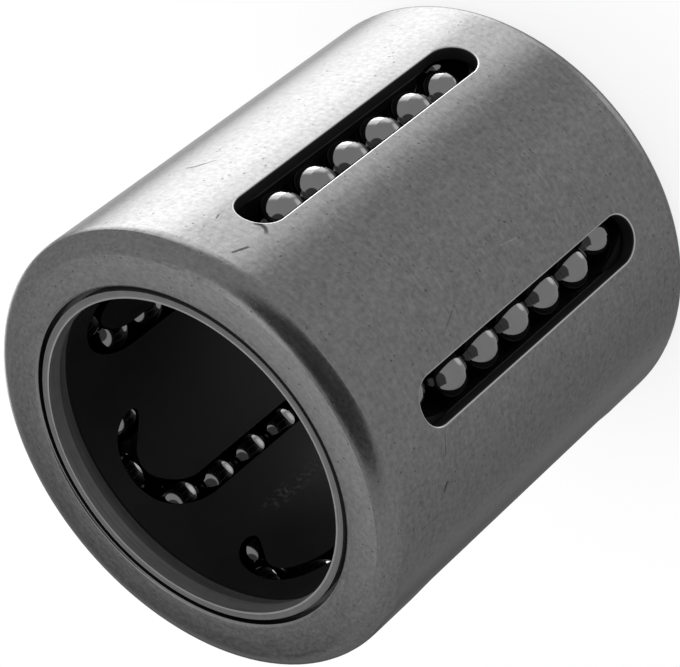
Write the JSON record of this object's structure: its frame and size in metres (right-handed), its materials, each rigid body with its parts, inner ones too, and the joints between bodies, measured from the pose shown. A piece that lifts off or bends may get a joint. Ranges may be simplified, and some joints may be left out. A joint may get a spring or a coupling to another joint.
{
  "type": "linear ball bearing",
  "caption": "Compact linear ball bearing: slotted drawn steel sleeve around a moulded cage whose closed ball loops roll along a round shaft.",
  "frame": {"origin": "centre of the lower end face, on the bearing's axis", "axes": "+Z along the bearing's axis from the lower to the upper end face; +X through the middle of the first slot"},
  "size_m": [0.028, 0.028, 0.03],
  "materials": {
    "sleeve_steel": "satin ground steel",
    "ring_steel": "turned steel",
    "ball_steel": "polished bearing steel",
    "cage_plastic": "black moulded plastic"
  },
  "bodies": {
    "housing": {"outer_sleeve": "sleeve_steel", "ball_cage": "cage_plastic", "end_ring_top": "ring_steel", "end_ring_bottom": "ring_steel"},
    "loop_1_load_balls": {"loop_1_load_balls": "ball_steel"},
    "loop_1_return_balls": {"loop_1_return_balls": "ball_steel"},
    "loop_1_top_turn_ball_1": {"loop_1_top_turn_ball_1": "ball_steel"},
    "loop_1_top_turn_ball_2": {"loop_1_top_turn_ball_2": "ball_steel"},
    "loop_1_top_turn_ball_3": {"loop_1_top_turn_ball_3": "ball_steel"},
    "loop_1_bottom_turn_ball_1": {"loop_1_bottom_turn_ball_1": "ball_steel"},
    "loop_1_bottom_turn_ball_2": {"loop_1_bottom_turn_ball_2": "ball_steel"},
    "loop_1_bottom_turn_ball_3": {"loop_1_bottom_turn_ball_3": "ball_steel"},
    "loop_2_load_balls": {"loop_2_load_balls": "ball_steel"},
    "loop_2_return_balls": {"loop_2_return_balls": "ball_steel"},
    "loop_2_top_turn_ball_1": {"loop_2_top_turn_ball_1": "ball_steel"},
    "loop_2_top_turn_ball_2": {"loop_2_top_turn_ball_2": "ball_steel"},
    "loop_2_top_turn_ball_3": {"loop_2_top_turn_ball_3": "ball_steel"},
    "loop_2_bottom_turn_ball_1": {"loop_2_bottom_turn_ball_1": "ball_steel"},
    "loop_2_bottom_turn_ball_2": {"loop_2_bottom_turn_ball_2": "ball_steel"},
    "loop_2_bottom_turn_ball_3": {"loop_2_bottom_turn_ball_3": "ball_steel"},
    "loop_3_load_balls": {"loop_3_load_balls": "ball_steel"},
    "loop_3_return_balls": {"loop_3_return_balls": "ball_steel"},
    "loop_3_top_turn_ball_1": {"loop_3_top_turn_ball_1": "ball_steel"},
    "loop_3_top_turn_ball_2": {"loop_3_top_turn_ball_2": "ball_steel"},
    "loop_3_top_turn_ball_3": {"loop_3_top_turn_ball_3": "ball_steel"},
    "loop_3_bottom_turn_ball_1": {"loop_3_bottom_turn_ball_1": "ball_steel"},
    "loop_3_bottom_turn_ball_2": {"loop_3_bottom_turn_ball_2": "ball_steel"},
    "loop_3_bottom_turn_ball_3": {"loop_3_bottom_turn_ball_3": "ball_steel"},
    "loop_4_load_balls": {"loop_4_load_balls": "ball_steel"},
    "loop_4_return_balls": {"loop_4_return_balls": "ball_steel"},
    "loop_4_top_turn_ball_1": {"loop_4_top_turn_ball_1": "ball_steel"},
    "loop_4_top_turn_ball_2": {"loop_4_top_turn_ball_2": "ball_steel"},
    "loop_4_top_turn_ball_3": {"loop_4_top_turn_ball_3": "ball_steel"},
    "loop_4_bottom_turn_ball_1": {"loop_4_bottom_turn_ball_1": "ball_steel"},
    "loop_4_bottom_turn_ball_2": {"loop_4_bottom_turn_ball_2": "ball_steel"},
    "loop_4_bottom_turn_ball_3": {"loop_4_bottom_turn_ball_3": "ball_steel"},
    "loop_5_load_balls": {"loop_5_load_balls": "ball_steel"},
    "loop_5_return_balls": {"loop_5_return_balls": "ball_steel"},
    "loop_5_top_turn_ball_1": {"loop_5_top_turn_ball_1": "ball_steel"},
    "loop_5_top_turn_ball_2": {"loop_5_top_turn_ball_2": "ball_steel"},
    "loop_5_top_turn_ball_3": {"loop_5_top_turn_ball_3": "ball_steel"},
    "loop_5_bottom_turn_ball_1": {"loop_5_bottom_turn_ball_1": "ball_steel"},
    "loop_5_bottom_turn_ball_2": {"loop_5_bottom_turn_ball_2": "ball_steel"},
    "loop_5_bottom_turn_ball_3": {"loop_5_bottom_turn_ball_3": "ball_steel"},
    "loop_6_load_balls": {"loop_6_load_balls": "ball_steel"},
    "loop_6_return_balls": {"loop_6_return_balls": "ball_steel"},
    "loop_6_top_turn_ball_1": {"loop_6_top_turn_ball_1": "ball_steel"},
    "loop_6_top_turn_ball_2": {"loop_6_top_turn_ball_2": "ball_steel"},
    "loop_6_top_turn_ball_3": {"loop_6_top_turn_ball_3": "ball_steel"},
    "loop_6_bottom_turn_ball_1": {"loop_6_bottom_turn_ball_1": "ball_steel"},
    "loop_6_bottom_turn_ball_2": {"loop_6_bottom_turn_ball_2": "ball_steel"},
    "loop_6_bottom_turn_ball_3": {"loop_6_bottom_turn_ball_3": "ball_steel"}
  },
  "joints": [
    {"name": "loop_1_circulation", "type": "slide", "parent": "housing", "child": "loop_1_load_balls", "axis": [0, 0, 1], "range_m": [-0.0006, 0.0024]},
    {"name": "loop_1_return_run", "type": "slide", "parent": "housing", "child": "loop_1_return_balls", "axis": [0, 0, -1], "range_m": [-0.0006, 0.0024]},
    {"name": "loop_1_top_turn_1", "type": "hinge", "parent": "housing", "child": "loop_1_top_turn_ball_1", "pos_m": [0.01079, 0.005, 0.02238], "axis": [0.7732, 0.6341, 0], "range_deg": [-9.5, 38]},
    {"name": "loop_1_top_turn_2", "type": "hinge", "parent": "housing", "child": "loop_1_top_turn_ball_2", "pos_m": [0.00943, 0.00437, 0.02301], "axis": [0.8356, 0.3912, -0.3858], "range_deg": [-10.64, 42.54]},
    {"name": "loop_1_top_turn_3", "type": "hinge", "parent": "housing", "child": "loop_1_top_turn_ball_3", "pos_m": [0.01185, 0.00512, 0.02253], "axis": [0.9666, 0.0322, 0.2541], "range_deg": [-9.52, 38.08]},
    {"name": "loop_1_bottom_turn_1", "type": "hinge", "parent": "housing", "child": "loop_1_bottom_turn_ball_1", "pos_m": [0.01079, 0.005, 0.00762], "axis": [0.7732, 0.6341, 0], "range_deg": [-9.5, 38]},
    {"name": "loop_1_bottom_turn_2", "type": "hinge", "parent": "housing", "child": "loop_1_bottom_turn_ball_2", "pos_m": [0.00943, 0.00437, 0.00699], "axis": [0.8356, 0.3912, 0.3858], "range_deg": [-10.64, 42.54]},
    {"name": "loop_1_bottom_turn_3", "type": "hinge", "parent": "housing", "child": "loop_1_bottom_turn_ball_3", "pos_m": [0.01185, 0.00512, 0.00747], "axis": [0.9666, 0.0322, -0.2541], "range_deg": [-9.52, 38.08]},
    {"name": "loop_2_circulation", "type": "slide", "parent": "housing", "child": "loop_2_load_balls", "axis": [0, 0, 1], "range_m": [-0.0015, 0.0015]},
    {"name": "loop_2_return_run", "type": "slide", "parent": "housing", "child": "loop_2_return_balls", "axis": [0, 0, -1], "range_m": [-0.0015, 0.0015]},
    {"name": "loop_2_top_turn_1", "type": "hinge", "parent": "housing", "child": "loop_2_top_turn_ball_1", "pos_m": [0.00106, 0.01184, 0.02238], "axis": [-0.1626, 0.9867, 0], "range_deg": [-23.75, 23.75]},
    {"name": "loop_2_top_turn_2", "type": "hinge", "parent": "housing", "child": "loop_2_top_turn_ball_2", "pos_m": [0.00093, 0.01035, 0.02301], "axis": [0.079, 0.9192, -0.3858], "range_deg": [-26.59, 26.59]},
    {"name": "loop_2_top_turn_3", "type": "hinge", "parent": "housing", "child": "loop_2_top_turn_ball_3", "pos_m": [0.00149, 0.01282, 0.02253], "axis": [0.4554, 0.8532, 0.2541], "range_deg": [-23.8, 23.8]},
    {"name": "loop_2_bottom_turn_1", "type": "hinge", "parent": "housing", "child": "loop_2_bottom_turn_ball_1", "pos_m": [0.00106, 0.01184, 0.00762], "axis": [-0.1626, 0.9867, 0], "range_deg": [-23.75, 23.75]},
    {"name": "loop_2_bottom_turn_2", "type": "hinge", "parent": "housing", "child": "loop_2_bottom_turn_ball_2", "pos_m": [0.00093, 0.01035, 0.00699], "axis": [0.079, 0.9192, 0.3858], "range_deg": [-26.59, 26.59]},
    {"name": "loop_2_bottom_turn_3", "type": "hinge", "parent": "housing", "child": "loop_2_bottom_turn_ball_3", "pos_m": [0.00149, 0.01282, 0.00747], "axis": [0.4554, 0.8532, -0.2541], "range_deg": [-23.8, 23.8]},
    {"name": "loop_3_circulation", "type": "slide", "parent": "housing", "child": "loop_3_load_balls", "axis": [0, 0, 1], "range_m": [-0.0021, 0.0009]},
    {"name": "loop_3_return_run", "type": "slide", "parent": "housing", "child": "loop_3_return_balls", "axis": [0, 0, -1], "range_m": [-0.0021, 0.0009]},
    {"name": "loop_3_top_turn_1", "type": "hinge", "parent": "housing", "child": "loop_3_top_turn_ball_1", "pos_m": [-0.00972, 0.00684, 0.02238], "axis": [-0.9358, 0.3526, 0], "range_deg": [-33.25, 14.25]},
    {"name": "loop_3_top_turn_2", "type": "hinge", "parent": "housing", "child": "loop_3_top_turn_ball_2", "pos_m": [-0.0085, 0.00598, 0.02301], "axis": [-0.7565, 0.528, -0.3858], "range_deg": [-37.22, 15.95]},
    {"name": "loop_3_top_turn_3", "type": "hinge", "parent": "housing", "child": "loop_3_top_turn_ball_3", "pos_m": [-0.01036, 0.0077, 0.02253], "axis": [-0.5112, 0.821, 0.2541], "range_deg": [-33.32, 14.28]},
    {"name": "loop_3_bottom_turn_1", "type": "hinge", "parent": "housing", "child": "loop_3_bottom_turn_ball_1", "pos_m": [-0.00972, 0.00684, 0.00762], "axis": [-0.9358, 0.3526, 0], "range_deg": [-33.25, 14.25]},
    {"name": "loop_3_bottom_turn_2", "type": "hinge", "parent": "housing", "child": "loop_3_bottom_turn_ball_2", "pos_m": [-0.0085, 0.00598, 0.00699], "axis": [-0.7565, 0.528, 0.3858], "range_deg": [-37.22, 15.95]},
    {"name": "loop_3_bottom_turn_3", "type": "hinge", "parent": "housing", "child": "loop_3_bottom_turn_ball_3", "pos_m": [-0.01036, 0.0077, 0.00747], "axis": [-0.5112, 0.821, -0.2541], "range_deg": [-33.32, 14.28]},
    {"name": "loop_4_circulation", "type": "slide", "parent": "housing", "child": "loop_4_load_balls", "axis": [0, 0, 1], "range_m": [-0.0015, 0.0015]},
    {"name": "loop_4_return_run", "type": "slide", "parent": "housing", "child": "loop_4_return_balls", "axis": [0, 0, -1], "range_m": [-0.0015, 0.0015]},
    {"name": "loop_4_top_turn_1", "type": "hinge", "parent": "housing", "child": "loop_4_top_turn_ball_1", "pos_m": [-0.01079, -0.005, 0.02238], "axis": [-0.7732, -0.6341, 0], "range_deg": [-23.75, 23.75]},
    {"name": "loop_4_top_turn_2", "type": "hinge", "parent": "housing", "child": "loop_4_top_turn_ball_2", "pos_m": [-0.00943, -0.00437, 0.02301], "axis": [-0.8356, -0.3912, -0.3858], "range_deg": [-26.59, 26.59]},
    {"name": "loop_4_top_turn_3", "type": "hinge", "parent": "housing", "child": "loop_4_top_turn_ball_3", "pos_m": [-0.01185, -0.00512, 0.02253], "axis": [-0.9666, -0.0322, 0.2541], "range_deg": [-23.8, 23.8]},
    {"name": "loop_4_bottom_turn_1", "type": "hinge", "parent": "housing", "child": "loop_4_bottom_turn_ball_1", "pos_m": [-0.01079, -0.005, 0.00762], "axis": [-0.7732, -0.6341, 0], "range_deg": [-23.75, 23.75]},
    {"name": "loop_4_bottom_turn_2", "type": "hinge", "parent": "housing", "child": "loop_4_bottom_turn_ball_2", "pos_m": [-0.00943, -0.00437, 0.00699], "axis": [-0.8356, -0.3912, 0.3858], "range_deg": [-26.59, 26.59]},
    {"name": "loop_4_bottom_turn_3", "type": "hinge", "parent": "housing", "child": "loop_4_bottom_turn_ball_3", "pos_m": [-0.01185, -0.00512, 0.00747], "axis": [-0.9666, -0.0322, -0.2541], "range_deg": [-23.8, 23.8]},
    {"name": "loop_5_circulation", "type": "slide", "parent": "housing", "child": "loop_5_load_balls", "axis": [0, 0, 1], "range_m": [-0.00125, 0.00175]},
    {"name": "loop_5_return_run", "type": "slide", "parent": "housing", "child": "loop_5_return_balls", "axis": [0, 0, -1], "range_m": [-0.00125, 0.00175]},
    {"name": "loop_5_top_turn_1", "type": "hinge", "parent": "housing", "child": "loop_5_top_turn_ball_1", "pos_m": [-0.00106, -0.01184, 0.02238], "axis": [0.1626, -0.9867, 0], "range_deg": [-19.79, 27.71]},
    {"name": "loop_5_top_turn_2", "type": "hinge", "parent": "housing", "child": "loop_5_top_turn_ball_2", "pos_m": [-0.00093, -0.01035, 0.02301], "axis": [-0.079, -0.9192, -0.3858], "range_deg": [-22.16, 31.02]},
    {"name": "loop_5_top_turn_3", "type": "hinge", "parent": "housing", "child": "loop_5_top_turn_ball_3", "pos_m": [-0.00149, -0.01282, 0.02253], "axis": [-0.4554, -0.8532, 0.2541], "range_deg": [-19.83, 27.77]},
    {"name": "loop_5_bottom_turn_1", "type": "hinge", "parent": "housing", "child": "loop_5_bottom_turn_ball_1", "pos_m": [-0.00106, -0.01184, 0.00762], "axis": [0.1626, -0.9867, 0], "range_deg": [-19.79, 27.71]},
    {"name": "loop_5_bottom_turn_2", "type": "hinge", "parent": "housing", "child": "loop_5_bottom_turn_ball_2", "pos_m": [-0.00093, -0.01035, 0.00699], "axis": [-0.079, -0.9192, 0.3858], "range_deg": [-22.16, 31.02]},
    {"name": "loop_5_bottom_turn_3", "type": "hinge", "parent": "housing", "child": "loop_5_bottom_turn_ball_3", "pos_m": [-0.00149, -0.01282, 0.00747], "axis": [-0.4554, -0.8532, -0.2541], "range_deg": [-19.83, 27.77]},
    {"name": "loop_6_circulation", "type": "slide", "parent": "housing", "child": "loop_6_load_balls", "axis": [0, 0, 1], "range_m": [-0.0005, 0.0025]},
    {"name": "loop_6_return_run", "type": "slide", "parent": "housing", "child": "loop_6_return_balls", "axis": [0, 0, -1], "range_m": [-0.0005, 0.0025]},
    {"name": "loop_6_top_turn_1", "type": "hinge", "parent": "housing", "child": "loop_6_top_turn_ball_1", "pos_m": [0.00972, -0.00684, 0.02238], "axis": [0.9358, -0.3526, 0], "range_deg": [-7.92, 39.58]},
    {"name": "loop_6_top_turn_2", "type": "hinge", "parent": "housing", "child": "loop_6_top_turn_ball_2", "pos_m": [0.0085, -0.00598, 0.02301], "axis": [0.7565, -0.528, -0.3858], "range_deg": [-8.86, 44.31]},
    {"name": "loop_6_top_turn_3", "type": "hinge", "parent": "housing", "child": "loop_6_top_turn_ball_3", "pos_m": [0.01036, -0.0077, 0.02253], "axis": [0.5112, -0.821, 0.2541], "range_deg": [-7.93, 39.66]},
    {"name": "loop_6_bottom_turn_1", "type": "hinge", "parent": "housing", "child": "loop_6_bottom_turn_ball_1", "pos_m": [0.00972, -0.00684, 0.00762], "axis": [0.9358, -0.3526, 0], "range_deg": [-7.92, 39.58]},
    {"name": "loop_6_bottom_turn_2", "type": "hinge", "parent": "housing", "child": "loop_6_bottom_turn_ball_2", "pos_m": [0.0085, -0.00598, 0.00699], "axis": [0.7565, -0.528, 0.3858], "range_deg": [-8.86, 44.31]},
    {"name": "loop_6_bottom_turn_3", "type": "hinge", "parent": "housing", "child": "loop_6_bottom_turn_ball_3", "pos_m": [0.01036, -0.0077, 0.00747], "axis": [0.5112, -0.821, -0.2541], "range_deg": [-7.93, 39.66]}
  ],
  "couplings": [
    {"joint": "loop_1_return_run", "follows": "loop_1_circulation", "ratio": 1},
    {"joint": "loop_1_top_turn_1", "follows": "loop_1_circulation", "rad_per_m": 276.31},
    {"joint": "loop_1_top_turn_2", "follows": "loop_1_circulation", "rad_per_m": 309.34},
    {"joint": "loop_1_top_turn_3", "follows": "loop_1_circulation", "rad_per_m": 276.9},
    {"joint": "loop_1_bottom_turn_1", "follows": "loop_1_circulation", "rad_per_m": 276.31},
    {"joint": "loop_1_bottom_turn_2", "follows": "loop_1_circulation", "rad_per_m": 309.34},
    {"joint": "loop_1_bottom_turn_3", "follows": "loop_1_circulation", "rad_per_m": 276.9},
    {"joint": "loop_2_return_run", "follows": "loop_2_circulation", "ratio": 1},
    {"joint": "loop_2_top_turn_1", "follows": "loop_2_circulation", "rad_per_m": 276.31},
    {"joint": "loop_2_top_turn_2", "follows": "loop_2_circulation", "rad_per_m": 309.34},
    {"joint": "loop_2_top_turn_3", "follows": "loop_2_circulation", "rad_per_m": 276.9},
    {"joint": "loop_2_bottom_turn_1", "follows": "loop_2_circulation", "rad_per_m": 276.31},
    {"joint": "loop_2_bottom_turn_2", "follows": "loop_2_circulation", "rad_per_m": 309.34},
    {"joint": "loop_2_bottom_turn_3", "follows": "loop_2_circulation", "rad_per_m": 276.9},
    {"joint": "loop_3_return_run", "follows": "loop_3_circulation", "ratio": 1},
    {"joint": "loop_3_top_turn_1", "follows": "loop_3_circulation", "rad_per_m": 276.31},
    {"joint": "loop_3_top_turn_2", "follows": "loop_3_circulation", "rad_per_m": 309.34},
    {"joint": "loop_3_top_turn_3", "follows": "loop_3_circulation", "rad_per_m": 276.9},
    {"joint": "loop_3_bottom_turn_1", "follows": "loop_3_circulation", "rad_per_m": 276.31},
    {"joint": "loop_3_bottom_turn_2", "follows": "loop_3_circulation", "rad_per_m": 309.34},
    {"joint": "loop_3_bottom_turn_3", "follows": "loop_3_circulation", "rad_per_m": 276.9},
    {"joint": "loop_4_return_run", "follows": "loop_4_circulation", "ratio": 1},
    {"joint": "loop_4_top_turn_1", "follows": "loop_4_circulation", "rad_per_m": 276.31},
    {"joint": "loop_4_top_turn_2", "follows": "loop_4_circulation", "rad_per_m": 309.34},
    {"joint": "loop_4_top_turn_3", "follows": "loop_4_circulation", "rad_per_m": 276.9},
    {"joint": "loop_4_bottom_turn_1", "follows": "loop_4_circulation", "rad_per_m": 276.31},
    {"joint": "loop_4_bottom_turn_2", "follows": "loop_4_circulation", "rad_per_m": 309.34},
    {"joint": "loop_4_bottom_turn_3", "follows": "loop_4_circulation", "rad_per_m": 276.9},
    {"joint": "loop_5_return_run", "follows": "loop_5_circulation", "ratio": 1},
    {"joint": "loop_5_top_turn_1", "follows": "loop_5_circulation", "rad_per_m": 276.31},
    {"joint": "loop_5_top_turn_2", "follows": "loop_5_circulation", "rad_per_m": 309.34},
    {"joint": "loop_5_top_turn_3", "follows": "loop_5_circulation", "rad_per_m": 276.9},
    {"joint": "loop_5_bottom_turn_1", "follows": "loop_5_circulation", "rad_per_m": 276.31},
    {"joint": "loop_5_bottom_turn_2", "follows": "loop_5_circulation", "rad_per_m": 309.34},
    {"joint": "loop_5_bottom_turn_3", "follows": "loop_5_circulation", "rad_per_m": 276.9},
    {"joint": "loop_6_return_run", "follows": "loop_6_circulation", "ratio": 1},
    {"joint": "loop_6_top_turn_1", "follows": "loop_6_circulation", "rad_per_m": 276.31},
    {"joint": "loop_6_top_turn_2", "follows": "loop_6_circulation", "rad_per_m": 309.34},
    {"joint": "loop_6_top_turn_3", "follows": "loop_6_circulation", "rad_per_m": 276.9},
    {"joint": "loop_6_bottom_turn_1", "follows": "loop_6_circulation", "rad_per_m": 276.31},
    {"joint": "loop_6_bottom_turn_2", "follows": "loop_6_circulation", "rad_per_m": 309.34},
    {"joint": "loop_6_bottom_turn_3", "follows": "loop_6_circulation", "rad_per_m": 276.9}
  ]
}
